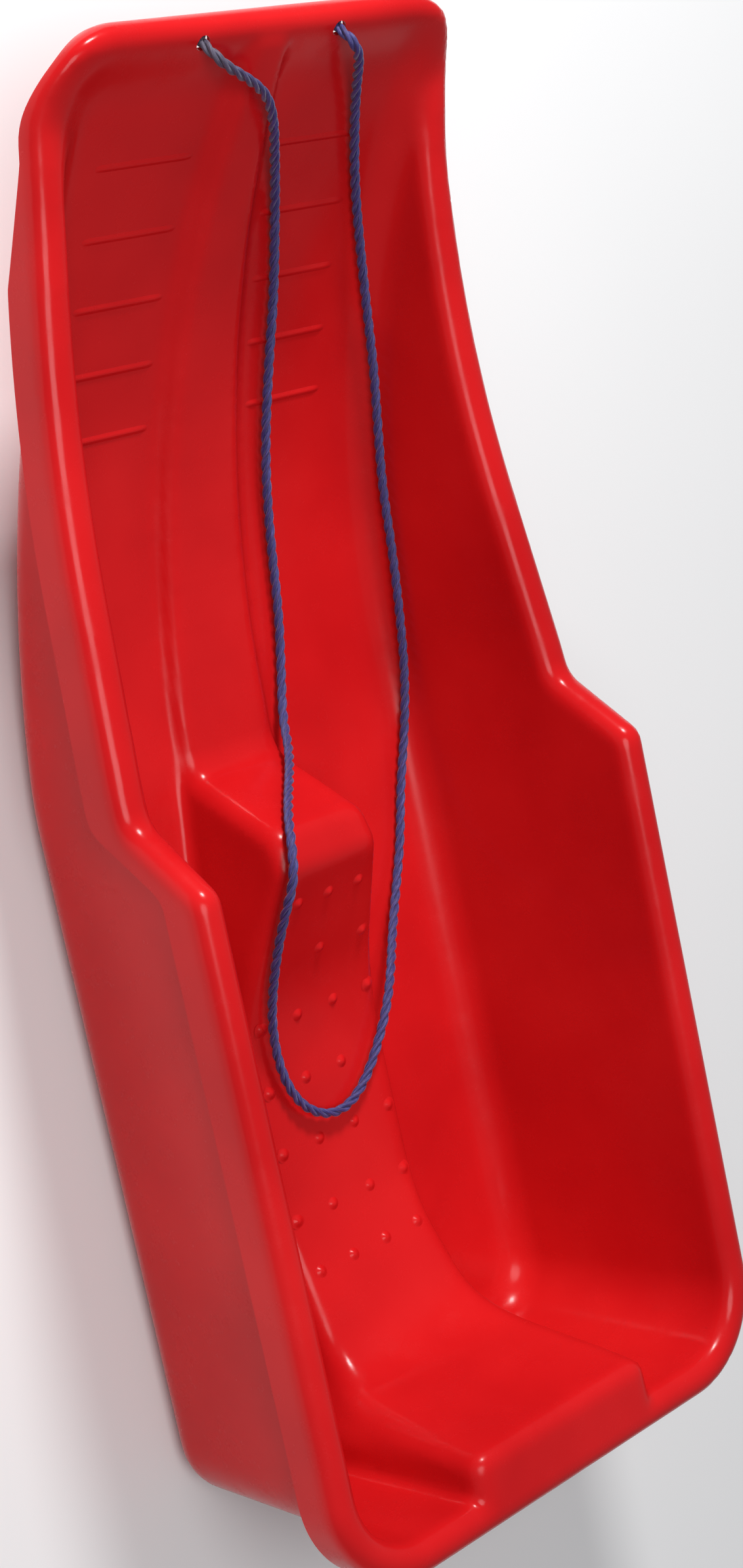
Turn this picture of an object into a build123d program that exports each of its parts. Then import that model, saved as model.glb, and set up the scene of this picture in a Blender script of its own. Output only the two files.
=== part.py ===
from build123d import *
import os
from math import asin, degrees, pi, radians, tan

os.makedirs("parts", exist_ok=True)

# A child's sledge moulded from one sheet of plastic. It lies on its runners with its nose
# towards +Y. Heights start at the ground, and stations are distances from the tail.

# Overall sizes
LENGTH = 856.0
TAIL_WIDTH = 366.0
NOSE_WIDTH = 312.0
HEIGHT = 178.0
WALL = 3.0

# Rim: a rolled lip, open underneath, that steps down beside the legs
RIM_WIDTH = 20.0
RIM_ROUND = 5.0
SKIRT_DEPTH = 30.0
RAMP_TOP = 409.0
RAMP_FOOT = 447.0
LOW_RIM = 130.0
LOWEST_RIM = 118.0
LOWEST_STATION = 650.0
NECK_STATION = 765.0
NECK_RIM = 139.0
CHEEK_STATION = 815.0
CHEEK_RIM = 153.0
NOSE_TOP_DEPTH = 13.0
TAIL_CORNER = 64.0
NOSE_CORNER = 50.0
TAPER_START = 455.0
SIDE_ROUND = 450.0

# Tub
DRAFT = 3.5
BOTTOM_ROUND = 24.0
SWEEP_START = 428.0
SWEEP_END = 800.0
SWEEP_RADIUS = 600.0

# Middle ridge: backrest, seat, hump and spine
RIDGE_DRAFT = 4.0
BACK_STATION = 45.0
BACK_HALF = 88.0
BACK_ROUND = 22.0
BACK_FOOT_STATION = 70.0
BACK_FOOT_RISE = 31.0
SEAT_REAR = 150.0
SEAT_FRONT = 287.0
SEAT_HEIGHT = 31.0
SEAT_HALF = 58.0
HUMP_STATION = 381.0
HUMP_HEIGHT = 82.0
HUMP_HALF = 46.0
HUMP_CREST = 22.0
HUMP_DROP = 5.0
HUMP_LENGTH = 58.0
SPINE_RISE = 9.0
SPINE_HALF = 34.0
SPINE_NOSE_HALF = 22.0

# Small moulded details
DOT_RADIUS = 4.0
DOT_RISE = 2.0
TREAD_WIDTH = 3.0
TREAD_RISE = 1.6
TREAD_START = 648.0
TREAD_PITCH = 35.0
TREAD_COUNT = 5
TREAD_OUTER = 102.0
TREAD_INNER = 36.0
TREAD_MIDDLE = (TREAD_OUTER + TREAD_INNER) / 2

# Tow rope and its holes
ROPE = 6.0
HOLE = 9.0
HOLE_HALF = 50.5
KNOT_RADIUS = 6.0
KNOT_HALF = 5.5
KNOT_ROUND = 3.0
KNOT_TAIL = 24.0
KNOT_INSET = 10.0
KNOT_HEIGHT = 167.2

# The rope's route from knot to knot: out of the left hole, over the hump, round on the seat,
# along the right foot well and back into the right hole
ROUTE = (
    (-50.5, 414.1, 171.1),
    (-50.5, 409.2, 176),
    (-48.5, 402.8, 179.8),
    (-41, 397, 179),
    (-29, 392, 176),
    (-16, 386.5, 171.5),
    (-4, 380, 164.5),
    (8, 369, 152),
    (20, 355, 135),
    (31, 340, 118.5),
    (42, 316, 98.5),
    (49, 281, 79),
    (50, 238, 59),
    (50.5, 189, 39.5),
    (54, 140, 24.5),
    (56, 93, 15.5),
    (52, 56, 10.5),
    (43, 29, 13),
    (29, 13, 29),
    (12, 3, 45),
    (-8, -8, 62),
    (-25, -18, 77.5),
    (-36, -31, 88.5),
    (-42, -50, 91),
    (-46, -75, 77),
    (-46, -105, 60),
    (-43, -138, 43.5),
    (-39.5, -169, 38),
    (-31, -192, 37.5),
    (-15, -206, 37.2),
    (4, -209.5, 37),
    (22, -201, 37.2),
    (39, -183, 37.6),
    (55, -159, 38.5),
    (71, -141, 31),
    (90, -124, 18),
    (108, -101, 10),
    (122, -72, 8.6),
    (132, -39, 8.4),
    (142.5, -4, 12),
    (146.5, 33, 19),
    (144.5, 72, 27.5),
    (143, 112, 34),
    (139, 152, 41),
    (136, 189, 51),
    (131.5, 224, 62.5),
    (125, 262, 74),
    (114, 299, 90.5),
    (100, 334, 111),
    (85, 368, 137),
    (74, 384, 155),
    (65.5, 392, 168),
    (59, 396.5, 175.8),
    (54, 400.5, 180),
    (51, 405.6, 179.4),
    (50.5, 410.4, 174.8),
    (50.5, 414.1, 171.1),
)

TAIL = -LENGTH / 2
NOSE = LENGTH / 2

# How far the shapes that only cut or limit others reach past the hull
PAST = 50.0
DEEP = 400.0
NEAR = 0.01

# The rim's top line: station, height and the radius that rounds the corner there
RIM_LINE = (
    (RAMP_TOP, HEIGHT, 12),
    (RAMP_FOOT, LOW_RIM, 14),
    (LOWEST_STATION, LOWEST_RIM, 700),
    (NECK_STATION, NECK_RIM, 400),
    (CHEEK_STATION, CHEEK_RIM, 40),
    (LENGTH - NOSE_TOP_DEPTH, HEIGHT, 16),
)

# The outline from above: station, half the width and the radius of the corner there
PLAN_LINE = (
    (0, TAIL_WIDTH / 2, TAIL_CORNER),
    (TAPER_START, TAIL_WIDTH / 2, SIDE_ROUND),
    (NECK_STATION, NOSE_WIDTH / 2, SIDE_ROUND),
    (LENGTH, NOSE_WIDTH / 2, NOSE_CORNER),
)

# The ridge from above, in the same way, and 0 where the corner stays sharp
RIDGE_PLAN = (
    (0, BACK_HALF + 4, 0),
    (BACK_STATION, BACK_HALF, BACK_ROUND),
    (BACK_FOOT_STATION + 9, SEAT_HALF + 8, 60),
    (SEAT_REAR - 20, SEAT_HALF + 1, 200),
    (SEAT_FRONT, SEAT_HALF, 300),
    (HUMP_STATION, HUMP_HALF, 400),
    (HUMP_STATION + HUMP_LENGTH + 12, SPINE_HALF + 3, 300),
    (HUMP_STATION + HUMP_LENGTH + 90, SPINE_HALF, 400),
    (NECK_STATION, SPINE_NOSE_HALF + 6, 400),
    (LENGTH, SPINE_NOSE_HALF, 0),
)

# Each row of dots: its station and the places across it
DOT_ROWS = (
    (132, (-42, -14, 14, 42)),
    (165, (-46, -16, 16, 46)),
    (207, (-45, -15, 15, 45)),
    (246, (-45, -15, 15, 45)),
    (286, (-45, -15, 15, 45)),
    (324, (-36, 0, 36)),
    (359, (-25, 0, 25)),
)


def at(station, z):
    """A point of a side view, from its distance from the tail and its height."""
    return (TAIL + station, z)


def knot_plane(side):
    """The plane across a rope hole's axis, in the middle of its knot."""
    return Plane(origin=(side * HOLE_HALF, NOSE - KNOT_INSET, KNOT_HEIGHT), x_dir=(1, 0, 0), z_dir=(0, -1, 1))


def corner_at(context, y, z=None):
    """The sketch's corners at a place, across the whole width if z is left out."""
    return context.vertices().filter_by(lambda v: abs(v.Y - y) < NEAR and (z is None or abs(v.Z - z) < NEAR))


def plan(inset):
    """The sledge's outline from above, moved in by inset."""
    with BuildSketch(mode=Mode.PRIVATE) as outline:
        with BuildLine():
            right = [(half, TAIL + station) for station, half, _ in PLAN_LINE]
            left = [(-x, y) for x, y in reversed(right)]
            Polyline(*right, *left, close=True)
        make_face()
        for station, _, radius in PLAN_LINE:
            fillet(corner_at(outline, TAIL + station), radius)
        if inset:
            offset(amount=-inset, kind=Kind.INTERSECTION, mode=Mode.REPLACE)
    return outline.sketch


def below_rim(drop):
    """Everything lower than the rim's top line, moved down by drop."""
    with BuildPart(mode=Mode.PRIVATE) as region:
        with BuildSketch(Plane.YZ) as side:
            with BuildLine():
                Polyline(
                    at(-PAST, -DEEP),
                    at(-PAST, HEIGHT - drop),
                    *[at(station, height - drop) for station, height, _ in RIM_LINE],
                    at(LENGTH + PAST, HEIGHT - drop),
                    at(LENGTH + PAST, -DEEP),
                    close=True,
                )
            make_face()
            for station, height, radius in RIM_LINE:
                fillet(corner_at(side, *at(station, height - drop)), radius)
        extrude(amount=TAIL_WIDTH, both=True)
    return region.part


def above_bottom(lift):
    """Everything higher than the curved bottom, moved up by lift."""
    with BuildPart(mode=Mode.PRIVATE) as region:
        with BuildSketch(Plane.YZ):
            with BuildLine():
                radius = SWEEP_RADIUS - lift
                start = at(SWEEP_START, lift)
                flat = Line(at(-PAST, lift), start)
                bow = RadiusArc(start, at(*on_sweep(radius, SWEEP_END)), -radius)
                rise = Line(bow @ 1, bow @ 1 + (bow % 1) * DEEP / 2)
                Polyline(rise @ 1, at(-PAST, DEEP * 1.5), flat @ 0)
            make_face()
        extrude(amount=TAIL_WIDTH, both=True)
    return region.part


def on_sweep(radius, station):
    """The station and height where the bottom's bow of this radius passes."""
    run = station - SWEEP_START
    return station, SWEEP_RADIUS - (radius**2 - run**2) ** 0.5


def tub(inset):
    """The tub's solid shape, moved in by inset from its outside."""
    with BuildPart(mode=Mode.PRIVATE) as body:
        with BuildSketch(Plane.XY.offset(HEIGHT)):
            add(plan(RIM_WIDTH - WALL + inset))
        extrude(amount=-HEIGHT - PAST, taper=DRAFT)
        with BuildSketch(Plane.XY.offset(HEIGHT)):
            add(plan(RIM_WIDTH - WALL + inset))
        extrude(amount=PAST)
        add(above_bottom(inset), mode=Mode.INTERSECT)
        foot = body.edges().filter_by(lambda e: e.center().Z < HEIGHT - NEAR and low_corner(e))
        fillet(foot, BOTTOM_ROUND - inset)
    return body.part


def low_corner(edge):
    """Whether an edge runs round the tub's bottom, and not up a wall."""
    ends = edge.position_at(0), edge.position_at(1)
    level = abs(ends[0].Z - ends[1].Z) < 0.9 * edge.length
    lengthwise = abs(ends[0].Y - ends[1].Y) > BOTTOM_ROUND
    return level or lengthwise


def ridge(inset):
    """The raised middle, from the backrest over the seat and hump to the nose, moved in by inset."""
    spine = SWEEP_RADIUS - WALL - SPINE_RISE + inset
    hump_foot = HUMP_STATION + HUMP_LENGTH
    lean = inset / 2
    # Station, height and rounding radius of each corner of the side view
    side_line = (
        (RIM_WIDTH - WALL, -PAST, 0),
        (RIM_WIDTH - WALL, HEIGHT - inset, 0),
        (BACK_STATION - lean, HEIGHT - inset, 8),
        (BACK_FOOT_STATION - lean, SEAT_HEIGHT + BACK_FOOT_RISE - inset, 60),
        (SEAT_REAR, SEAT_HEIGHT - inset, 150),
        (SEAT_FRONT, SEAT_HEIGHT - inset, 150),
        (HUMP_STATION, HUMP_HEIGHT - inset, 16 - inset),
        (HUMP_STATION + HUMP_CREST - lean, HUMP_HEIGHT - HUMP_DROP - inset, 16 - inset),
        (hump_foot - inset, SPINE_RISE + 2 * WALL - inset, 14),
    )
    with BuildPart(mode=Mode.PRIVATE) as body:
        with BuildSketch(Plane.XY) as foot:
            with BuildLine():
                right = [(half - inset, TAIL + station) for station, half, _ in RIDGE_PLAN]
                left = [(-x, y) for x, y in reversed(right)]
                Polyline(*right, *left, close=True)
            make_face()
            for station, _, radius in RIDGE_PLAN:
                if radius:
                    fillet(corner_at(foot, TAIL + station), radius)
        extrude(amount=HEIGHT + PAST, taper=RIDGE_DRAFT)
        with BuildSketch(Plane.YZ) as side:
            with BuildLine():
                line = Polyline(*[at(station, height) for station, height, _ in side_line])
                joint = at(*on_sweep(spine, hump_foot + 12))
                end = at(*on_sweep(spine, SWEEP_END))
                Line(line @ 1, joint)
                RadiusArc(joint, end, -spine)
                brow = at(LENGTH - RIM_WIDTH + inset, HEIGHT - inset)
                Polyline(end, brow, at(LENGTH - WALL, HEIGHT - inset), at(LENGTH - WALL, -PAST), line @ 0)
            make_face()
            for station, height, radius in (*side_line, (*on_sweep(spine, SWEEP_END), 60)):
                if radius:
                    fillet(corner_at(side, *at(station, height)), radius)
        extrude(amount=TAIL_WIDTH, both=True, mode=Mode.INTERSECT)
    return body.part


def under_lip():
    """The space between the rim's skirt and the tub, open downwards."""
    with BuildPart(mode=Mode.PRIVATE) as space:
        with BuildSketch(Plane.XY.offset(-PAST)):
            add(plan(WALL))
        extrude(amount=HEIGHT + 2 * PAST)
        add(below_rim(WALL), mode=Mode.INTERSECT)
        add(tub(0), mode=Mode.SUBTRACT)
    return space.part


def under_skirt():
    """Everything below the skirt's lower edge and outside the tub."""
    with BuildPart(mode=Mode.PRIVATE) as space:
        add(below_rim(SKIRT_DEPTH))
        add(tub(0), mode=Mode.SUBTRACT)
    return space.part


def raised_middle():
    """The ridge's outer shape, as far as the tub reaches."""
    with BuildPart(mode=Mode.PRIVATE) as body:
        add(ridge(0))
        add(tub(0), mode=Mode.INTERSECT)
    return body.part


def rope_bore(side):
    """The bore of one rope hole, from inside the nose rim up and out through its inner corner."""
    with BuildPart(mode=Mode.PRIVATE) as bore:
        with BuildSketch(knot_plane(side)):
            Circle(HOLE / 2)
        extrude(amount=2 * RIM_WIDTH)
    return bore.part


def on_rim(face):
    """Whether a face is part of the rim's top, judged from above."""
    outline = plan(0).faces()[0].outer_wire()
    centre = face.center()
    return outline.distance_to(Vector(centre.X, centre.Y, 0)) < RIM_WIDTH - RIM_ROUND


def boundary(faces):
    """The edges round a patch of faces: those that only one of its faces has."""
    edges = ShapeList([edge for face in faces for edge in face.edges()])
    return ShapeList([edge for edge in edges if sum(edge.is_same(other) for other in edges) == 1])


# The hull starts as a block with the sledge's outline, hollowed above the sheet, then below it.
with BuildPart() as hull:
    with BuildSketch():
        add(plan(0))
    extrude(amount=HEIGHT + PAST)
    add(below_rim(0), mode=Mode.INTERSECT)
    add(tub(WALL), mode=Mode.SUBTRACT)
    tops = hull.faces().filter_by(lambda f: f.normal_at().Z > 0.3 and on_rim(f))
    fillet(boundary(tops), RIM_ROUND)
    add(under_lip(), mode=Mode.SUBTRACT)
    add(under_skirt(), mode=Mode.SUBTRACT)
    raised = raised_middle()
    add(raised)
    add(ridge(WALL), mode=Mode.SUBTRACT)
    # Anti-slip dots on the seat and on the back of the hump
    for station, places in DOT_ROWS:
        upward = Axis((0, TAIL + station, 0), (0, 0, 1))
        top, normal = max(raised.find_intersection_points(upward), key=lambda hit: hit[0].Z)
        middle = top + normal * (DOT_RISE - DOT_RADIUS)
        with Locations(*[(x, middle.Y, middle.Z) for x in places]):
            Sphere(DOT_RADIUS)
    # Treads across both foot wells
    for number in range(TREAD_COUNT):
        station = TREAD_START + number * TREAD_PITCH
        slope = asin((station - SWEEP_START) / SWEEP_RADIUS)
        middle = at(*on_sweep(SWEEP_RADIUS - WALL, station))
        for x in (-TREAD_MIDDLE, TREAD_MIDDLE):
            with Locations(Location((x, *middle), (degrees(slope), 0, 0))):
                Box(TREAD_OUTER - TREAD_INNER, TREAD_WIDTH, 2 * TREAD_RISE)
    for side in (-1, 1):
        add(rope_bore(side), mode=Mode.SUBTRACT)
hull.part.label = "hull"
export_step(hull.part, "parts/hull.step")

# A stopper knot inside each end of the hollow nose rim, with its cut tail hanging down
for name, side in (("stopper_knot_left", -1), ("stopper_knot_right", 1)):
    with BuildPart() as knot:
        with BuildSketch(knot_plane(side)):
            Circle(KNOT_RADIUS)
        extrude(amount=KNOT_HALF, both=True)
        fillet(knot.edges(), KNOT_ROUND)
        with BuildSketch(Plane.XY.offset(KNOT_HEIGHT)):
            with Locations((side * HOLE_HALF, NOSE - KNOT_INSET)):
                Circle(ROPE / 2)
        extrude(amount=-KNOT_TAIL)
    knot.part.label = name
    export_step(knot.part, f"parts/{name}.step")

# Tow rope: straight runs joined by tangent arcs
with BuildPart() as tow_rope:
    points = [Vector(*point) for point in ROUTE]
    radii = []
    for before, corner, after in zip(points, points[1:], points[2:]):
        turn = radians((corner - before).get_angle(after - corner))
        shorter = min((corner - before).length, (after - corner).length)
        radii.append(0.45 * shorter / tan(turn / 2))
    with BuildLine() as route:
        FilletPolyline(*points, radius=radii)
    with BuildSketch(Plane(origin=route.line @ 0, z_dir=route.line % 0)):
        Circle(ROPE / 2)
    sweep()
tow_rope.part.label = "tow_rope"
export_step(tow_rope.part, "parts/tow_rope.step")
path_length = sum(edge.length for edge in route.edges())
section = pi * ROPE**2 / 4
print("rope length", round(path_length), "radii", [round(radius) for radius in radii])
print("rope volume over section times length", round(tow_rope.part.volume / (section * path_length), 3))
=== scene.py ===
import math
import bpy
import numpy as np
from mathutils import Matrix, Vector


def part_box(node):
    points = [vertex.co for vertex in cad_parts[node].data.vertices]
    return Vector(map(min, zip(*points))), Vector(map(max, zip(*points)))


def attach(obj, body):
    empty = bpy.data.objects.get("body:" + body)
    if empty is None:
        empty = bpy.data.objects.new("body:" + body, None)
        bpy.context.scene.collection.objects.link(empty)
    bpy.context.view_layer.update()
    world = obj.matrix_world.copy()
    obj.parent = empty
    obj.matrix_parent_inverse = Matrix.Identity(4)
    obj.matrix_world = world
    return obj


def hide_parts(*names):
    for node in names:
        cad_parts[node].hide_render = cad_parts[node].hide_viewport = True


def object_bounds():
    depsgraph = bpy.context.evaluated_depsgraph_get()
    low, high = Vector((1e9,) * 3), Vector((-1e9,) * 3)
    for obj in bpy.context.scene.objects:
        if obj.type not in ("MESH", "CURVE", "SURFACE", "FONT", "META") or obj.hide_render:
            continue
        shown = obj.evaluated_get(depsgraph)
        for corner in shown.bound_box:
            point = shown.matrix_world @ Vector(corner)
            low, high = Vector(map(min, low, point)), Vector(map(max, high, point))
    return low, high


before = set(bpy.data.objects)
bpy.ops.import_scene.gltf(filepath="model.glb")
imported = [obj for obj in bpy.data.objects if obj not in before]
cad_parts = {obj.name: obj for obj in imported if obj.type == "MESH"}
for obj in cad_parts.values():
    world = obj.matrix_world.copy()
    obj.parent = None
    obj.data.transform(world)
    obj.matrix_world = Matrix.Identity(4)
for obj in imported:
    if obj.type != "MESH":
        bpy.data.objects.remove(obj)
cad_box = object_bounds()

# ---------------------------------------------------------------- camera
CAMERA_PLACE = Vector((-1.0528, 0.2544, 1.2817))
CAMERA_RIGHT = Vector((0.70010, -0.20476, 0.68406))
CAMERA_UP = Vector((0.26090, 0.96512, 0.02187))
CAMERA_BACK = Vector((-0.66468, 0.16316, 0.72910))
LENS = 63.317

camera_data = bpy.data.cameras.new("camera")
camera_data.lens = LENS
camera = bpy.data.objects.new("camera", camera_data)
camera.matrix_world = Matrix.Translation(CAMERA_PLACE) @ Matrix(
    (CAMERA_RIGHT, CAMERA_UP, CAMERA_BACK)
).transposed().to_4x4()
bpy.context.collection.objects.link(camera)
bpy.context.scene.camera = camera

# ---------------------------------------------------------------- the rope's route
MM = 0.001
ROPE = 6 * MM
LAY = 27 * MM
RING = 48
RING_STEP = 1.25 * MM
SPLINE_STEPS = 24
STRANDS = 3
STRAND_CENTRE = 0.5359  # as a share of the rope's radius, where three equal strands just touch
FRAY_RINGS = 5

# The points of the CAD tube's route, in millimetres, from knot to knot
ROUTE = (
    (-50.5, 414.1, 171.1), (-50.5, 409.2, 176), (-48.5, 402.8, 179.8), (-41, 397, 179),
    (-29, 392, 176), (-16, 386.5, 171.5), (-4, 380, 164.5), (8, 369, 152),
    (20, 355, 135), (31, 340, 118.5), (42, 316, 98.5), (49, 281, 79),
    (50, 238, 59), (50.5, 189, 39.5), (54, 140, 24.5), (56, 93, 15.5),
    (52, 56, 10.5), (43, 29, 13), (29, 13, 29), (12, 3, 45),
    (-8, -8, 62), (-25, -18, 77.5), (-36, -31, 88.5), (-42, -50, 91),
    (-46, -75, 77), (-46, -105, 60), (-43, -138, 43.5), (-39.5, -169, 38),
    (-31, -192, 37.5), (-15, -206, 37.2), (4, -209.5, 37), (22, -201, 37.2),
    (39, -183, 37.6), (55, -159, 38.5), (71, -141, 31), (90, -124, 18),
    (108, -101, 10), (122, -72, 8.6), (132, -39, 8.4), (142.5, -4, 12),
    (146.5, 33, 19), (144.5, 72, 27.5), (143, 112, 34), (139, 152, 41),
    (136, 189, 51), (131.5, 224, 62.5), (125, 262, 74), (114, 299, 90.5),
    (100, 334, 111), (85, 368, 137), (74, 384, 155), (65.5, 392, 168),
    (59, 396.5, 175.8), (54, 400.5, 180), (51, 405.6, 179.4), (50.5, 410.4, 174.8),
    (50.5, 414.1, 171.1),
)


def spline_points(name, route):
    """The points of a smooth curve whose control points are the route's, in metres."""
    data = bpy.data.curves.new(name, "CURVE")
    data.dimensions = "3D"
    data.resolution_u = SPLINE_STEPS
    spline = data.splines.new("NURBS")
    spline.points.add(len(route) - 1)
    for point, place in zip(spline.points, route):
        point.co = (*(Vector(place) * MM), 1)
    spline.order_u = 3
    spline.use_endpoint_u = True
    holder = bpy.data.objects.new(name, data)
    bpy.context.collection.objects.link(holder)
    bpy.context.view_layer.update()
    mesh = bpy.data.meshes.new_from_object(holder)
    points = [vertex.co.copy() for vertex in mesh.vertices]
    bpy.data.objects.remove(holder)
    return points


def evenly(points, step):
    """The same line, with points an even step apart."""
    run = [0.0]
    for a, b in zip(points, points[1:]):
        run.append(run[-1] + (b - a).length)
    count = max(2, round(run[-1] / step))
    even, at = [], 0
    for number in range(count + 1):
        target = run[-1] * number / count
        while at < len(points) - 2 and run[at + 1] < target:
            at += 1
        span = run[at + 1] - run[at]
        even.append(points[at].lerp(points[at + 1], (target - run[at]) / span if span else 0))
    return even


def strand_radius(angle, radius):
    """How far the outside of three strands laid together is from the middle, in one direction."""
    centre = radius * STRAND_CENTRE
    strand = radius - centre
    off = (angle + math.pi / STRANDS) % (2 * math.pi / STRANDS) - math.pi / STRANDS
    across = max(strand**2 - (centre * math.sin(off)) ** 2, 0)
    return centre * math.cos(off) + math.sqrt(across)


def laid_rope(name, points, radius, fray=0.0):
    """A three-strand rope as one closed mesh along the points, with a UV of turn and length."""
    verts, faces, uvs = [], [], []
    side = (points[1] - points[0]).orthogonal().normalized()
    run = 0.0
    last = len(points) - 1
    for number, place in enumerate(points):
        ahead = points[min(number + 1, last)] - points[max(number - 1, 0)]
        forward = ahead.normalized()
        side = (side - forward * side.dot(forward)).normalized()
        other = forward.cross(side)
        if number:
            run += (place - points[number - 1]).length
        turn = 2 * math.pi * run / LAY
        size = radius * (1 + fray * max(0, number - last + FRAY_RINGS) / FRAY_RINGS)
        for k in range(RING):
            angle = 2 * math.pi * k / RING
            out = strand_radius(angle, size)
            outward = side * math.cos(angle + turn) + other * math.sin(angle + turn)
            verts.append(place + outward * out)
            uvs.append((k / RING, run))
    for number in range(last):
        for k in range(RING):
            a, b = number * RING + k, number * RING + (k + 1) % RING
            faces.append((a, b, b + RING, a + RING))
    verts.append(points[0])
    verts.append(points[last])
    for k in range(RING):
        faces.append((len(verts) - 2, (k + 1) % RING, k))
        faces.append((len(verts) - 1, last * RING + k, last * RING + (k + 1) % RING))
    uvs += [(0.5, 0), (0.5, run)]
    mesh = bpy.data.meshes.new(name)
    mesh.from_pydata(verts, [], faces)
    layer = mesh.uv_layers.new(name="lay")
    for polygon in mesh.polygons:
        polygon.use_smooth = True
        ring = [mesh.loops[i].vertex_index for i in polygon.loop_indices]
        seam = any(v < last * RING + RING and v % RING == RING - 1 for v in ring)
        for i, v in zip(polygon.loop_indices, ring):
            u, length = uvs[v]
            layer.data[i].uv = (1.0 if seam and u == 0 else u, length)
    made = bpy.data.objects.new(name, mesh)
    bpy.context.collection.objects.link(made)
    return made


# ---------------------------------------------------------------- materials
def new_material(name):
    made = bpy.data.materials.new(name)
    made.use_nodes = True
    return made, made.node_tree, made.node_tree.nodes["Principled BSDF"]


def noise(tree, scale, detail, vector=None, roughness=0.5):
    made = tree.nodes.new("ShaderNodeTexNoise")
    made.inputs["Scale"].default_value = scale
    made.inputs["Detail"].default_value = detail
    made.inputs["Roughness"].default_value = roughness
    if vector is None:
        place = tree.nodes.new("ShaderNodeTexCoord")
        vector = place.outputs["Object"]
    tree.links.new(vector, made.inputs["Vector"])
    return made.outputs["Fac"]


def ramp(tree, factor, stops):
    made = tree.nodes.new("ShaderNodeValToRGB")
    elements = made.color_ramp.elements
    for element, (position, color) in zip(elements, (stops[0], stops[-1])):
        element.position = position
        element.color = (*color, 1)
    for position, color in stops[1:-1]:
        elements.new(position).color = (*color, 1)
    tree.links.new(factor, made.inputs["Fac"])
    return made.outputs["Color"]


def spread(tree, factor, low, high, start=0.0, end=1.0):
    made = tree.nodes.new("ShaderNodeMapRange")
    for name, value in (("From Min", start), ("From Max", end), ("To Min", low), ("To Max", high)):
        made.inputs[name].default_value = value
    tree.links.new(factor, made.inputs["Value"])
    return made.outputs["Result"]


def maths(tree, operation, a, b):
    made = tree.nodes.new("ShaderNodeMath")
    made.operation = operation
    for socket, value in zip(made.inputs, (a, b)):
        if isinstance(value, (int, float)):
            socket.default_value = value
        else:
            tree.links.new(value, socket)
    return made.outputs[0]


def bump(tree, height, distance, strength, normal=None):
    made = tree.nodes.new("ShaderNodeBump")
    made.inputs["Distance"].default_value = distance
    made.inputs["Strength"].default_value = strength
    tree.links.new(height, made.inputs["Height"])
    if normal is not None:
        tree.links.new(normal, made.inputs["Normal"])
    return made.outputs["Normal"]


def hull_plastic():
    """Glossy red moulded plastic, with soft flow marks, fine pebble and a few dull scuffs."""
    made, tree, shader = new_material("hull_plastic")
    shader.inputs["IOR"].default_value = 1.5
    shader.inputs["Specular IOR Level"].default_value = 0.18
    shader.inputs["Subsurface Weight"].default_value = 0.08
    shader.inputs["Subsurface Radius"].default_value = (0.006, 0.0015, 0.001)
    shader.inputs["Coat Weight"].default_value = 0.03
    shader.inputs["Coat Roughness"].default_value = 0.12
    flow = noise(tree, scale=7, detail=3)
    color = ramp(tree, flow, (
        (0.30, (0.50, 0.006, 0.008)), (0.55, (0.60, 0.009, 0.011)), (0.80, (0.68, 0.014, 0.015)),
    ))
    tree.links.new(color, shader.inputs["Base Color"])
    scuffs = noise(tree, scale=38, detail=8, roughness=0.7)
    dullness = spread(tree, scuffs, low=0.20, high=0.36, start=0.45, end=0.72)
    tree.links.new(dullness, shader.inputs["Roughness"])
    pebble = bump(tree, noise(tree, scale=900, detail=2), distance=0.12 * MM, strength=0.12)
    waves = noise(tree, scale=30, detail=2)
    uneven = bump(tree, waves, distance=1.2 * MM, strength=0.10, normal=pebble)
    tree.links.new(uneven, shader.inputs["Normal"])
    return made


def rope_fibre():
    """Blue-violet twisted rope: paler filaments, darker between, greyed near the left hole."""
    made, tree, shader = new_material("rope")
    shader.inputs["Sheen Weight"].default_value = 0.25
    shader.inputs["Sheen Roughness"].default_value = 0.4
    coords = tree.nodes.new("ShaderNodeTexCoord")
    stretch = tree.nodes.new("ShaderNodeMapping")
    stretch.inputs["Scale"].default_value = (70, 160, 1)
    tree.links.new(coords.outputs["UV"], stretch.inputs["Vector"])
    filaments = noise(tree, scale=1, detail=4, vector=stretch.outputs["Vector"], roughness=0.6)
    blue = ramp(tree, filaments, (
        (0.30, (0.010, 0.008, 0.060)), (0.52, (0.034, 0.030, 0.17)), (0.75, (0.17, 0.16, 0.46)),
    ))
    # A greyer, paler blue, mixed in by position only, towards the left hole.
    greyed_blue = ramp(tree, filaments, (
        (0.30, (0.020, 0.015, 0.030)), (0.52, (0.07, 0.058, 0.10)), (0.75, (0.22, 0.20, 0.27)),
    ))
    split = tree.nodes.new("ShaderNodeSeparateXYZ")
    tree.links.new(coords.outputs["Object"], split.inputs["Vector"])
    near_left = spread(tree, split.outputs["X"], low=1, high=0, start=-0.05, end=0.01)
    near_nose = spread(tree, split.outputs["Y"], low=0, high=1, start=0.33, end=0.40)
    mix = tree.nodes.new("ShaderNodeMix")
    mix.data_type = "RGBA"
    tree.links.new(maths(tree, "MULTIPLY", near_left, near_nose), mix.inputs["Factor"])
    tree.links.new(blue, mix.inputs["A"])
    tree.links.new(greyed_blue, mix.inputs["B"])
    tree.links.new(mix.outputs["Result"], shader.inputs["Base Color"])
    tree.links.new(spread(tree, filaments, low=0.34, high=0.58), shader.inputs["Roughness"])
    tree.links.new(bump(tree, filaments, distance=0.35 * MM, strength=0.8), shader.inputs["Normal"])
    return made


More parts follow.
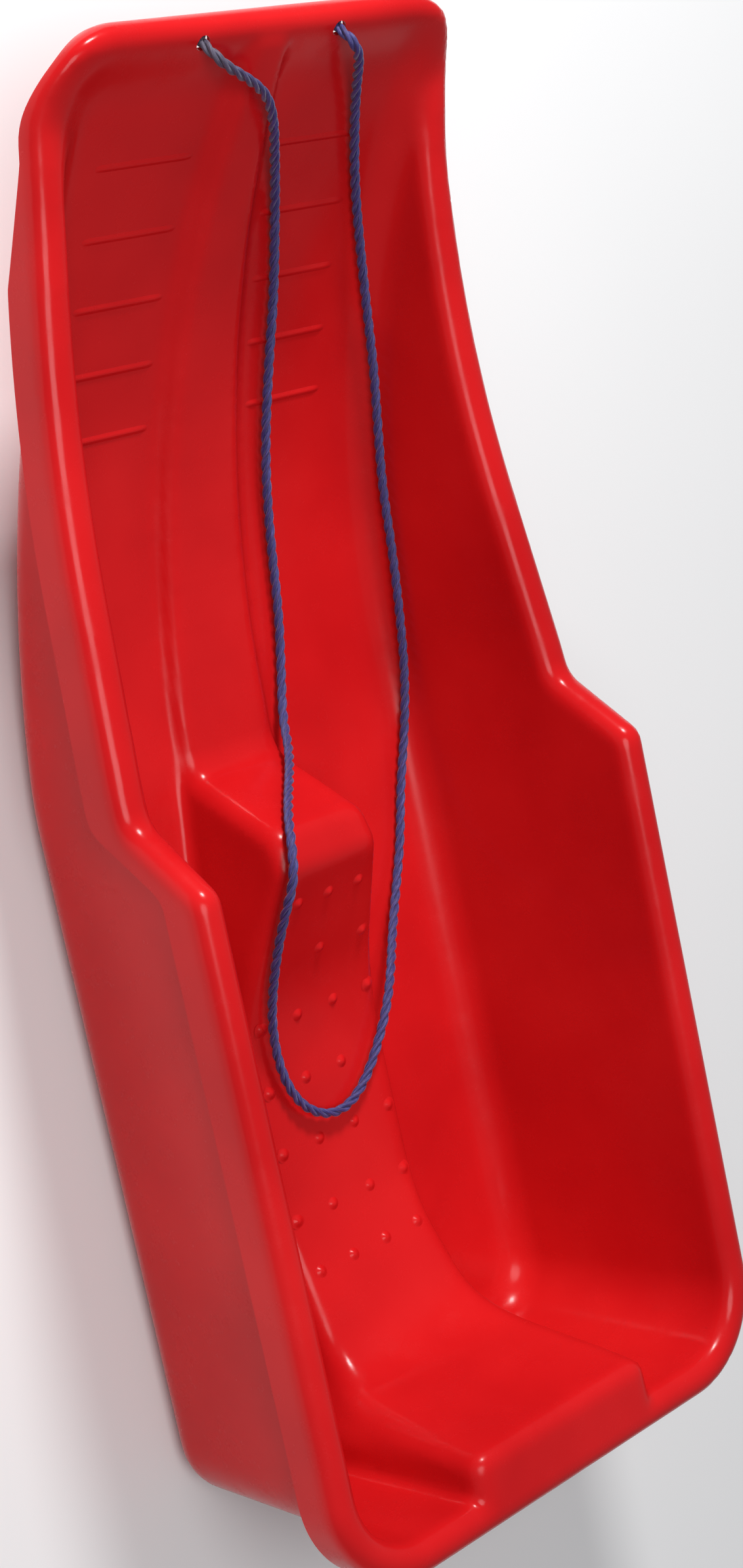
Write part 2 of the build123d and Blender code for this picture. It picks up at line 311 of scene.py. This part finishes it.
def floor_paint():
    """A plain pale floor with the faintest unevenness."""
    made, tree, shader = new_material("floor")
    tone = noise(tree, scale=1.5, detail=2)
    pale = ramp(tree, tone, ((0.3, (0.79, 0.79, 0.79)), (0.7, (0.82, 0.82, 0.82))))
    tree.links.new(pale, shader.inputs["Base Color"])
    shader.inputs["Roughness"].default_value = 0.8
    return made


# ---------------------------------------------------------------- rope and knots
rope_material = rope_fibre()
centreline = spline_points("rope_line", ROUTE)
rope_points = evenly(centreline, RING_STEP)
tow_rope = laid_rope("tow_rope_laid", rope_points, ROPE / 2)
tow_rope.data.materials.append(rope_material)
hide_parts("tow_rope")
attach(tow_rope, "root")

TURNS = 3
WIND_RADIUS = 3.35 * MM
WIND_ROPE = 2.45 * MM
KNOT_HALF = 5.5 * MM
KNOT_STEPS = 90
TAIL_STEPS = 24
TAIL_FRAY = 0.12


def knot_path(node, side):
    """A stopper knot's line: a level turn under the hole, two down its axis, then the cut tail."""
    low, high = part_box(node)
    axis = Vector((0, -1, 1)).normalized()
    half = (high.y - low.y) / 2
    middle = Vector(((low.x + high.x) / 2, high.y - half, high.z - half))
    across = Vector((side, 0, 0))
    up = axis.cross(across)
    line = []
    reach = KNOT_HALF - WIND_ROPE
    for k in range(KNOT_STEPS + 1):
        turned = TURNS * k / KNOT_STEPS
        angle = 2 * math.pi * turned
        along = reach - 2 * reach * max(0, turned - 1) / (TURNS - 1)
        out = across * math.cos(angle) + up * math.sin(angle)
        line.append(middle + axis * along + out * WIND_RADIUS)
    end = Vector((middle.x, middle.y, low.z + ROPE / 4))
    start = line[-1]
    for k in range(1, TAIL_STEPS + 1):
        share = k / TAIL_STEPS
        ease = share * share * (3 - 2 * share)
        line.append(Vector((
            start.x + (end.x - start.x) * ease, start.y + (end.y - start.y) * ease,
            start.z + (end.z - start.z) * share,
        )))
    return line


for node, side in (("stopper_knot_left", -1), ("stopper_knot_right", 1)):
    points = evenly(knot_path(node, side), RING_STEP / 2)
    knot = laid_rope(node + "_tied", points, WIND_ROPE, fray=TAIL_FRAY)
    knot.data.materials.append(rope_material)
    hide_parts(node)
    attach(knot, "root")

# ---------------------------------------------------------------- hull
# All in millimetres. Heights start at the ground, and stations are distances from the tail.
LENGTH = (cad_box[1].y - cad_box[0].y) / MM
TAIL_WIDTH = (cad_box[1].x - cad_box[0].x) / MM
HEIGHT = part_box("hull")[1].z / MM
TAIL = cad_box[0].y / MM
NOSE_WIDTH = 312
WALL = 3
RIM_WIDTH = 20
RIM_ROUND = 10
SKIRT_DEPTH = 30
NOSE_SKIRT_DEPTH = 14
NOSE_SKIRT_RUN = (735, 795)
DRAFT = math.radians(3.5)
RIDGE_DRAFT = math.radians(4)
FLOOR_ROUND = 21
SWEEP_START = 428
SWEEP_END = 800
SWEEP_RADIUS = 600
SPINE_RISE = 9
HUMP_FOOT = 439
SPINE_START = 451
SPINE_STEP = 12
SPINE_DIP = 5
SPINE_TOP_ROUND = 8
CELL = 4.3
FIRST_PASSES = 4
SKIN_PASSES = 3
PROBE = 0.05
LONGEST_MOVE = 2.5
FAR = 1e9
LEAST = 1e-6

# How far the ridge's own edges are rounded at each station, and the fillet at its foot by height
RIDGE_EDGE_STATIONS = (430, 470, 800, 840)
RIDGE_EDGE_ROUNDS = (11, 7, 7, 5)
FOOT_HEIGHTS = (0, 166, 177)
FOOT_ROUNDS = (7, 7, 0.1)

# Rounded corners of each line: station, height or half width, and the corner's radius
RIM_LINE = (
    (-60, HEIGHT, 0), (409, HEIGHT, 14), (447, 130, 18), (650, 118, 700), (765, 139, 400),
    (815, 153, 55), (LENGTH - 13, HEIGHT, 18), (LENGTH + 60, HEIGHT, 0),
)
PLAN_LINE = (
    (0, 0, 0), (0, TAIL_WIDTH / 2, 64), (455, TAIL_WIDTH / 2, 450), (765, NOSE_WIDTH / 2, 450),
    (LENGTH, NOSE_WIDTH / 2, 50), (LENGTH, 0, 0),
)
RIDGE_PLAN = (
    (-60, 92, 0), (45, 88, 22), (79, 66, 60), (130, 59, 200), (287, 58, 300), (381, 46, 400),
    (451, 37, 300), (529, 34, 400), (765, 28, 400), (LENGTH + 60, 22, 0),
)
CREST_TO_HUMP = (
    (RIM_WIDTH / 2, HEIGHT, 0), (45, HEIGHT, 10), (70, 62, 60), (150, 31, 150), (287, 31, 150),
    (381, 82, 18), (403, 77, 18), (HUMP_FOOT, 15, 16),
)


def rounded(corners, step=3.0):
    """A line with each corner rounded to its radius, as close points."""
    points = [np.array(corner[:2], float) for corner in corners]
    line = [points[0]]
    for before, corner, after, radius in zip(points, points[1:], points[2:], [c[2] for c in corners[1:]]):
        a, b = (before - corner), (after - corner)
        a, b = a / np.linalg.norm(a), b / np.linalg.norm(b)
        half = math.acos(max(-1, min(1, float(a @ b)))) / 2
        if not radius or half > math.pi / 2 - LEAST:
            line.append(corner)
            continue
        reach = radius / math.tan(half)
        centre = corner + (a + b) / np.linalg.norm(a + b) * radius / math.sin(half)
        start, end = corner + a * reach - centre, corner + b * reach - centre
        turn = math.pi - 2 * half
        count = max(4, math.ceil(radius * turn / step))
        for k in range(count + 1):
            share = k / count
            arc = (start * math.sin((1 - share) * turn) + end * math.sin(share * turn)) / math.sin(turn)
            line.append(centre + arc)
    line.append(points[-1])
    return np.array(line)


def away(line, p, q):
    """The plain distance from points (p, q) to a line."""
    p, q = np.broadcast_arrays(p, q)
    nearest = np.full(p.shape, FAR)
    for (p0, q0), (p1, q1) in zip(line, line[1:]):
        dp, dq = p1 - p0, q1 - q0
        span = dp * dp + dq * dq
        if span < LEAST**2:
            continue
        share = np.clip(((p - p0) * dp + (q - q0) * dq) / span, 0, 1)
        nearest = np.minimum(nearest, (p - p0 - share * dp) ** 2 + (q - q0 - share * dq) ** 2)
    return np.sqrt(nearest)


def crest_line():
    """The side view of the ridge: backrest, seat, hump and spine, up to the nose rim."""
    spine = SWEEP_RADIUS - WALL - SPINE_RISE
    stations = np.arange(SPINE_START, SWEEP_END + 1, SPINE_STEP)
    arc = [(t, SWEEP_RADIUS - math.sqrt(spine**2 - (t - SWEEP_START) ** 2)) for t in stations]
    first = rounded((*CREST_TO_HUMP, arc[0] + (0,)))
    last = rounded((
        arc[-1] + (0,), (LENGTH - RIM_WIDTH, HEIGHT - SPINE_DIP, SPINE_TOP_ROUND),
        (LENGTH - RIM_WIDTH / 2, HEIGHT - SPINE_DIP + 1, 0),
    ))
    return np.vstack([first, np.array(arc[1:-1]), last])


rim_line = rounded(RIM_LINE)
plan_line = rounded(PLAN_LINE)
ridge_plan = rounded(RIDGE_PLAN)
crest = crest_line()
crest_outline = np.vstack([[(crest[0][0], -60)], crest, [(crest[-1][0], -60)]])


def both(a, b, radius):
    """What two shapes have in common, with the edge between them rounded."""
    corner = np.hypot(np.maximum(a + radius, 0), np.maximum(b + radius, 0))
    return np.minimum(np.maximum(a, b), -radius) + corner


def rim_height(t):
    return np.interp(t, rim_line[:, 0], rim_line[:, 1])


def outside(x, t):
    """Distance outside the sledge's outline from above, and negative within it."""
    edge = np.interp(t, plan_line[:, 0], plan_line[:, 1])
    within = (x < edge) & (t > 0) & (t < LENGTH)
    return np.where(within, -1, 1) * away(plan_line, t, x)


def over_floor(t, z):
    """Distance below the upper side of the floor, and negative above it."""
    inner = SWEEP_RADIUS - WALL
    run = t - SWEEP_START
    bow = np.hypot(run, z - SWEEP_RADIUS) - inner
    angle = math.asin((SWEEP_END - SWEEP_START) / inner)
    foot = SWEEP_RADIUS - inner * math.cos(angle)
    rise = (t - SWEEP_END) * math.sin(angle) - (z - foot) * math.cos(angle)
    return np.where(run < 0, WALL - z, np.where(t < SWEEP_END, bow, rise))


def skin(x, y, z):
    """Negative below the sheet's upper side, positive above it, and zero on it."""
    x, t = np.abs(x), y - TAIL
    edge = outside(x, t)
    above_rim = np.where(z > rim_height(t), 1, -1) * away(rim_line, t, z)
    block = both(edge, above_rim, RIM_ROUND)
    wall = (RIM_WIDTH + (HEIGHT - z) * math.tan(DRAFT) + edge) * math.cos(DRAFT)
    cavity = both(wall, over_floor(t, z), FLOOR_ROUND)
    tub = both(block, -cavity, RIM_ROUND)
    half = np.interp(t, ridge_plan[:, 0], ridge_plan[:, 1])
    side = (x - half + z * math.tan(RIDGE_DRAFT)) * math.cos(RIDGE_DRAFT)
    under = (z < np.interp(t, crest[:, 0], crest[:, 1])) & (t > crest[0][0]) & (t < crest[-1][0])
    top = np.where(under, -1, 1) * away(crest_outline, t, z)
    ridge = both(side, top, np.interp(t, RIDGE_EDGE_STATIONS, RIDGE_EDGE_ROUNDS))
    fillet = np.interp(z, FOOT_HEIGHTS, FOOT_ROUNDS)
    return -both(-tub, -ridge, fillet)


def slope(places):
    """The skin's direction and value at each place."""
    value = skin(*places.T)
    ways = [(skin(*(places + step).T) - value) / PROBE for step in np.eye(3) * PROBE]
    direction = np.stack(ways, 1)
    return direction / np.maximum(np.linalg.norm(direction, axis=1), LEAST)[:, None], value


def onto_skin(places, passes):
    """The places moved along the skin's direction until they lie on it."""
    for _ in range(passes):
        direction, value = slope(places)
        places = places - direction * np.clip(value, -LONGEST_MOVE, LONGEST_MOVE)[:, None]
    return places


def sheet_mesh():
    """The sheet's upper side as even quads: corners and faces."""
    low = np.array((-TAIL_WIDTH / 2 - CELL, TAIL - CELL, -CELL))
    high = np.array((TAIL_WIDTH / 2 + CELL, TAIL + LENGTH + CELL, HEIGHT + CELL))
    counts = np.ceil((high - low) / CELL).astype(int) + 1
    low -= (counts * CELL - (high - low)) / 2 - CELL / 2
    axes = [low[k] + CELL * np.arange(counts[k]) for k in range(3)]
    x, y, z = np.meshgrid(*axes, indexing="ij", sparse=True)
    solid = skin(x, y, z) < 0
    number = np.full(counts - 1, -1)
    quads = []
    for k in range(3):
        here = [slice(1, -1)] * 3
        there = [slice(1, -1)] * 3
        here[k], there[k] = slice(0, -1), slice(1, None)
        a, b = solid[tuple(here)], solid[tuple(there)]
        crossing = np.argwhere(a != b)
        outward = a[a != b]
        corner = crossing + 1
        corner[:, k] -= 1
        u, v = (k + 1) % 3, (k + 2) % 3
        ring = []
        for du, dv in ((1, 1), (0, 1), (0, 0), (1, 0)):
            cell = corner.copy()
            cell[:, u] -= du
            cell[:, v] -= dv
            ring.append(cell)
        ring = np.stack(ring, 1)
        ring[~outward] = ring[~outward][:, ::-1]
        quads.append(ring)
    quads = np.concatenate(quads)
    flat = np.ravel_multi_index(quads.reshape(-1, 3).T, counts - 1)
    used, faces = np.unique(flat, return_inverse=True)
    cells = np.stack(np.unravel_index(used, counts - 1), 1)
    return low + (cells + 0.5) * CELL, faces.reshape(-1, 4)


def relaxed(places, faces, still):
    """Each corner moved halfway to the middle of its neighbours."""
    total, count = np.zeros_like(places), np.zeros(len(places))
    for k in range(4):
        for near in (faces[:, (k + 1) % 4], faces[:, (k + 3) % 4]):
            np.add.at(total, faces[:, k], places[near])
            np.add.at(count, faces[:, k], 1)
    middle = total / np.maximum(count, 1)[:, None]
    return np.where(still[:, None], places, (places + middle) / 2)


def hull_sheet():
    """The upper side from the skirt's lower edge over the rim and across the tub."""
    places, faces = sheet_mesh()
    low_edge = places[:, 2] < 0
    faces = faces[~low_edge[faces].all(1)]
    places = onto_skin(places, FIRST_PASSES)
    still = np.zeros(len(places), bool)
    for _ in range(SKIN_PASSES):
        places = onto_skin(relaxed(places, faces, still), 2)
    t = places[:, 1] - TAIL
    on_skirt = outside(np.abs(places[:, 0]), t) > -1
    edge = rim_height(t) - np.interp(t, NOSE_SKIRT_RUN, (SKIRT_DEPTH, NOSE_SKIRT_DEPTH))
    below = on_skirt & (places[:, 2] < edge)
    faces = faces[~below[faces].all(1)]
    places[below, 2] = edge[below]
    used, faces = np.unique(faces, return_inverse=True)
    return places[used], faces.reshape(-1, 4)


def mesh_object(name, places, faces):
    mesh = bpy.data.meshes.new(name)
    mesh.from_pydata([tuple(p) for p in np.asarray(places) * MM], [], [tuple(map(int, f)) for f in faces])
    mesh.validate()
    mesh.update()
    for polygon in mesh.polygons:
        polygon.use_smooth = True
    made = bpy.data.objects.new(name, mesh)
    bpy.context.collection.objects.link(made)
    return made


def apply_modifiers(obj):
    bpy.context.view_layer.update()
    result = bpy.data.meshes.new_from_object(obj.evaluated_get(bpy.context.evaluated_depsgraph_get()))
    obj.modifiers.clear()
    obj.data = result


HOLE = 9
HOLE_HALF = 50.5
KNOT_HEIGHT = 167.2
KNOT_INSET = 10
DRILL_SIDES = 40
DRILL_LENGTH = 30
SHARP_ANGLE = math.radians(50)


def drill_holes(obj):
    """The two rope holes, aslant through the nose rim's inner top corner."""
    for side in (-1, 1):
        axis = Vector((0, -1, 1)).normalized()
        knot = Vector((side * HOLE_HALF, -TAIL - KNOT_INSET, KNOT_HEIGHT))
        bpy.ops.mesh.primitive_cylinder_add(
            vertices=DRILL_SIDES, radius=HOLE / 2 * MM, depth=DRILL_LENGTH * MM,
            location=(knot + axis * (DRILL_LENGTH / 2)) * MM,
            rotation=axis.to_track_quat("Z", "Y").to_euler(),
        )
        drill = bpy.context.object
        cut = obj.modifiers.new("hole", "BOOLEAN")
        cut.operation = "DIFFERENCE"
        cut.solver = "EXACT"
        cut.object = drill
        apply_modifiers(obj)
        bpy.data.objects.remove(drill)


DOT_ROWS = (
    (132, (-42, -14, 14, 42)), (165, (-46, -16, 16, 46)), (207, (-45, -15, 15, 45)),
    (246, (-45, -15, 15, 45)), (286, (-45, -15, 15, 45)), (324, (-36, 0, 36)), (359, (-25, 0, 25)),
)
DOT_REACH = 5.2
DOT_RISE = 2
DOT_SUNK = 0.2
TREAD_START = 648
TREAD_PITCH = 35
TREAD_COUNT = 5
TREAD_OUTER = 102
TREAD_INNER = 36
TREAD_REACH = 3.2
TREAD_RISE = 1.3
TREAD_FADE = 9


def swell(share):
    """A soft moulded bump's height, from 1 in the middle to 0 at its edge."""
    return 0.5 + 0.5 * np.cos(np.pi * np.clip(share, 0, 1))


def dots():
    """Anti-slip dots on the seat and the back of the hump, as soft domes on the sheet."""
    spots = np.array([
        (x, TAIL + t, np.interp(t, crest[:, 0], crest[:, 1])) for t, xs in DOT_ROWS for x in xs
    ])
    spots = onto_skin(spots, FIRST_PASSES)
    normals, _ = slope(spots)
    places, faces = [], []
    rings, sides = 6, 20
    for spot, normal in zip(spots, normals):
        across = np.array((1.0, 0, 0)) - normal * normal[0]
        across /= np.linalg.norm(across)
        other = np.cross(normal, across)
        start = len(places)
        places.append(spot + normal * (DOT_RISE - DOT_SUNK))
        for ring in range(1, rings + 1):
            out = DOT_REACH * ring / rings
            high = DOT_RISE * swell(out / DOT_REACH) - DOT_SUNK
            for k in range(sides):
                angle = 2 * math.pi * k / sides
                way = across * math.cos(angle) + other * math.sin(angle)
                places.append(spot + way * out + normal * high)
        for k in range(sides):
            after = (k + 1) % sides
            faces.append((start, start + 1 + k, start + 1 + after))
            for ring in range(rings - 1):
                a, b = start + 1 + ring * sides + k, start + 1 + ring * sides + after
                faces.append((a, a + sides, b + sides, b))
    return mesh_object("dots", places, faces)


def treads():
    """Low bars across both foot wells that fade out at their ends."""
    places, faces = [], []
    along, across = 34, 8
    for number in range(TREAD_COUNT):
        t = TREAD_START + TREAD_PITCH * number
        angle = math.asin((t - SWEEP_START) / (SWEEP_RADIUS - WALL))
        foot = SWEEP_RADIUS - (SWEEP_RADIUS - WALL) * math.cos(angle)
        forward = np.array((0, math.cos(angle), math.sin(angle)))
        normal = np.array((0, -math.sin(angle), math.cos(angle)))
        inner = TREAD_INNER - 2 * number
        for side in (-1, 1):
            start = len(places)
            for i in range(along + 1):
                x = inner + (TREAD_OUTER - inner) * i / along
                fade = 1 - swell(min(x - inner, TREAD_OUTER - x) / TREAD_FADE)
                for j in range(across + 1):
                    off = 2 * j / across - 1
                    high = TREAD_RISE * fade * swell(abs(off)) - DOT_SUNK
                    base = np.array((side * x, TAIL + t, foot))
                    places.append(base + forward * off * TREAD_REACH + normal * high)
            for i in range(along):
                for j in range(across):
                    a = start + i * (across + 1) + j
                    quad = (a, a + across + 1, a + across + 2, a + 1)
                    faces.append(quad if side > 0 else quad[::-1])
    return mesh_object("treads", places, faces)


def make_hull():
    """The whole moulding as one piece: the sheet with its holes, dots and treads."""
    shell = mesh_object("hull_moulding", *hull_sheet())
    thicken = shell.modifiers.new("wall", "SOLIDIFY")
    thicken.thickness = WALL * MM
    thicken.offset = -1
    thicken.use_rim = True
    apply_modifiers(shell)
    drill_holes(shell)
    parts = [shell, dots(), treads()]
    with bpy.context.temp_override(
        active_object=shell, selected_editable_objects=parts, selected_objects=parts,
    ):
        bpy.ops.object.join()
    shell.data.materials.clear()
    shell.data.materials.append(hull_plastic())
    shell.data.set_sharp_from_angle(angle=SHARP_ANGLE)
    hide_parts("hull")
    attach(shell, "root")
    print("hull triangles", sum(len(p.vertices) - 2 for p in shell.data.polygons))


make_hull()

# ---------------------------------------------------------------- floor and light
FLOOR_SIZE = 14

bpy.ops.mesh.primitive_plane_add(size=FLOOR_SIZE, location=(0, 0, -0.0005))
floor = bpy.context.object
floor.name = "floor"
floor.data.materials.append(floor_paint())


def softbox(name, right, up, back, size, power):
    """A large soft light placed by the camera's own directions, facing the sledge."""
    light = bpy.data.lights.new(name, "AREA")
    light.shape = "DISK"
    light.size = size
    light.energy = power
    made = bpy.data.objects.new(name, light)
    place = CAMERA_RIGHT * right + CAMERA_UP * up + CAMERA_BACK * back
    made.location = place
    made.rotation_euler = place.to_track_quat("Z", "Y").to_euler()
    bpy.context.collection.objects.link(made)


softbox("key", 0.6, 2.1, 1.3, 0.5, 58)
softbox("fill", 0.6, -0.1, 2.4, 1.4, 30)
bpy.context.scene.view_settings.view_transform = "Standard"

world = bpy.data.worlds.new("world")
bpy.context.scene.world = world
world.use_nodes = True
world.node_tree.nodes["Background"].inputs["Color"].default_value = (0.93, 0.95, 1.0, 1)
world.node_tree.nodes["Background"].inputs["Strength"].default_value = 0.25
